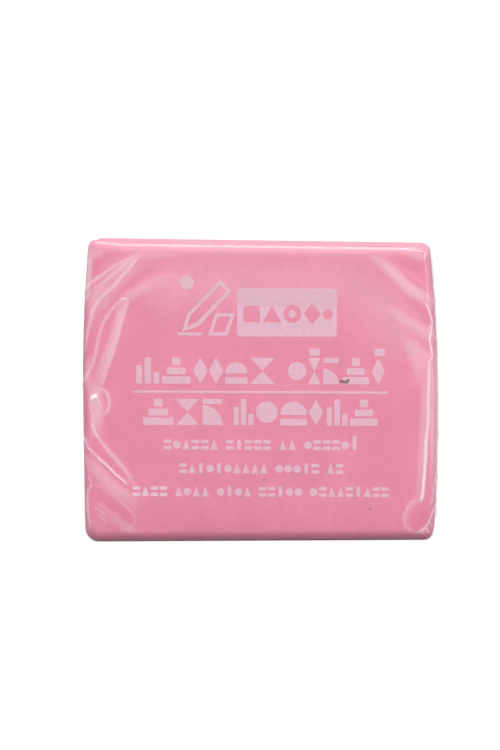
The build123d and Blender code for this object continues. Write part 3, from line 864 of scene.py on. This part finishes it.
FLAKE_THICK = 0.018  # mm
CRUMBS = (  # centre, size and turn in degrees, and how far off the dough's face
    (9.85, 18.6, 0.5, 0.16, 14, 0.07),
    (10.3, 18.75, 0.26, 0.12, -20, 0.07),
    (0.45, 7.25, 0.07, 0.06, 0, 0.01),
    (12.75, 3.85, 0.11, 0.08, 40, 0.01),
    (-14.6, 27.6, 0.06, 0.05, 0, 0.01),
    (-2.2, 22.9, 0.06, 0.05, 0, 0.01),
)
dust = np.random.RandomState(2)
flakes = []
for x, z, long, short, turn, off in CRUMBS:
    bpy.ops.object.select_all(action="DESELECT")
    bpy.ops.mesh.primitive_ico_sphere_add(subdivisions=3, radius=1)
    flake = bpy.context.object
    at = positions(flake)
    at *= 1 + 0.35 * (dust.rand(len(at), 1) - 0.5)
    flake.data.vertices.foreach_set("co", at.ravel())
    flake.scale = (long * MM, FLAKE_THICK * MM, short * MM)
    flake.rotation_euler = (0, math.radians(turn), 0)
    flake.location = (x * MM, -(DEPTH / 2 + SLAB_SKIN + off) * MM, z * MM)
    bpy.ops.object.transform_apply(location=True, rotation=True, scale=True)
    flakes.append(flake)
for flake in flakes:
    flake.select_set(True)
bpy.ops.object.join()
crumbs = bpy.context.object
crumbs.name = "graphite_crumbs"
bpy.ops.object.shade_smooth()


def graphite_dust():
    """Grey pencil dust, pinker where the dough shows through it."""
    material, surface = new_material("graphite_dust")
    tree = material.node_tree
    place = add_node(tree, "TexCoord").outputs["Object"]
    grain = add_node(tree, "TexNoise", Vector=place, Scale=3000, Detail=2)
    ramp = add_ramp(tree, grain.outputs["Fac"], (0.35, "#4A4446"), (0.65, "#8E6F78"))
    shader = add_node(tree, "BsdfPrincipled", Base_Color=ramp, Roughness=0.8)
    tree.links.new(shader.outputs[0], surface)
    return material


crumbs.data.materials.append(graphite_dust())
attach(crumbs, "root")

# ---------------------------------------------------------------------------
# Floor, light and camera
# A white sweep under the pack. A large softbox lights the front and another the
# back, and three small lamps give the film its highlights along edge and gathers.


def looking_rays(tree):
    """1 for rays of the camera, even through the film, and 1 for those mirrored by a glossy skin."""
    rays = add_node(tree, "LightPath")
    direct = add_node(tree, "Math", {"operation": "MAXIMUM"}, _0=rays.outputs["Is Camera Ray"],
                      _1=rays.outputs["Is Transmission Ray"])
    return direct.outputs[0], rays.outputs["Is Glossy Ray"]


bpy.ops.object.select_all(action="DESELECT")
bpy.ops.mesh.primitive_plane_add(size=12)
floor = bpy.context.object
floor.name = "floor"
material, surface = new_material("white_floor")
tree = material.node_tree
direct, mirrored = looking_rays(tree)
glow = add_node(tree, "Emission", Color=linear("#FFFFFF"), Strength=0.75)
matt = add_node(tree, "BsdfDiffuse", Color=linear("#A0A0A0"))
added = add_node(tree, "AddShader", _0=glow.outputs[0], _1=matt.outputs[0])
by_eye = add_node(tree, "Math", {"operation": "MULTIPLY_ADD"}, _0=mirrored, _1=0.2, _2=direct)
either = add_node(tree, "MixShader", _0=by_eye.outputs[0], _1=matt.outputs[0], _2=added.outputs[0])
tree.links.new(either.outputs[0], surface)
floor.data.materials.append(material)
floor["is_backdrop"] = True

world = bpy.data.worlds.new("studio")
bpy.context.scene.world = world
world.use_nodes = True
tree = world.node_tree
tree.nodes.clear()
direct, mirrored = looking_rays(tree)
ambient = add_node(tree, "Background", Color=linear("#FFFFFF"), Strength=0.75)
white = add_node(tree, "Background", Color=linear("#FFFFFF"), Strength=1.0)
by_eye = add_node(tree, "Math", {"operation": "MAXIMUM"}, _0=mirrored, _1=direct)
either = add_node(tree, "MixShader", _0=by_eye.outputs[0], _1=ambient.outputs[0], _2=white.outputs[0])
add_node(tree, "OutputWorld", Surface=either.outputs[0])

middle = (Vector(cad_low) + Vector(cad_high)) / 2


def add_softbox(name, place, width, height, radiance):
    """A rectangular lamp aimed at the pack; its radiance is the brightness of its face."""
    bpy.ops.object.light_add(type="AREA", location=place)
    lamp = bpy.context.object
    lamp.name = name
    lamp.data.shape = "RECTANGLE"
    lamp.data.size, lamp.data.size_y = width, height
    lamp.data.energy = radiance * math.pi * width * height
    lamp.rotation_euler = (middle - Vector(place)).to_track_quat("-Z", "Y").to_euler()
    return lamp


front_softbox = add_softbox("front_softbox", (-0.10, -0.62, 0.42), 0.9, 0.6, 2.2)
front_softbox.visible_glossy = False  # too wide to show as a shape in the film
back_softbox = add_softbox("back_softbox", (0.20, 0.80, 0.22), 0.9, 0.6, 2.4)
back_softbox.visible_glossy = False
add_softbox("overhead_strip", (0, 0.14, 0.55), 0.4, 0.12, 3.5)
add_softbox("right_strip", (0.36, -0.26, 0.14), 0.03, 0.26, 18.0)
add_softbox("upper_right_lamp", (0.25, -0.35, 0.40), 0.06, 0.06, 18.0)

FOCAL = 300
SENSOR = 36
IMAGE_HEIGHT = 0.0868  # metres that the view takes in at the pack's front
AZIMUTH, ELEVATION = math.radians(3), math.radians(4.3)
ROLL = -0.6  # degrees
back = Vector((
    math.sin(AZIMUTH) * math.cos(ELEVATION),
    -math.cos(AZIMUTH) * math.cos(ELEVATION),
    math.sin(ELEVATION),
))
aim = Vector((-0.0010, -DEPTH / 2 * MM, 0.01945))
bpy.ops.object.camera_add(location=aim + back * IMAGE_HEIGHT * FOCAL / SENSOR)
camera = bpy.context.object
camera.data.lens = FOCAL
camera.data.sensor_width = SENSOR
camera.data.clip_start = 0.01
turned = (-back).to_track_quat("-Z", "Y") @ Quaternion((0, 0, 1), math.radians(ROLL))
camera.rotation_euler = turned.to_euler()
bpy.context.scene.camera = camera

bpy.context.scene.view_settings.view_transform = "Standard"

low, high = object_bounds()
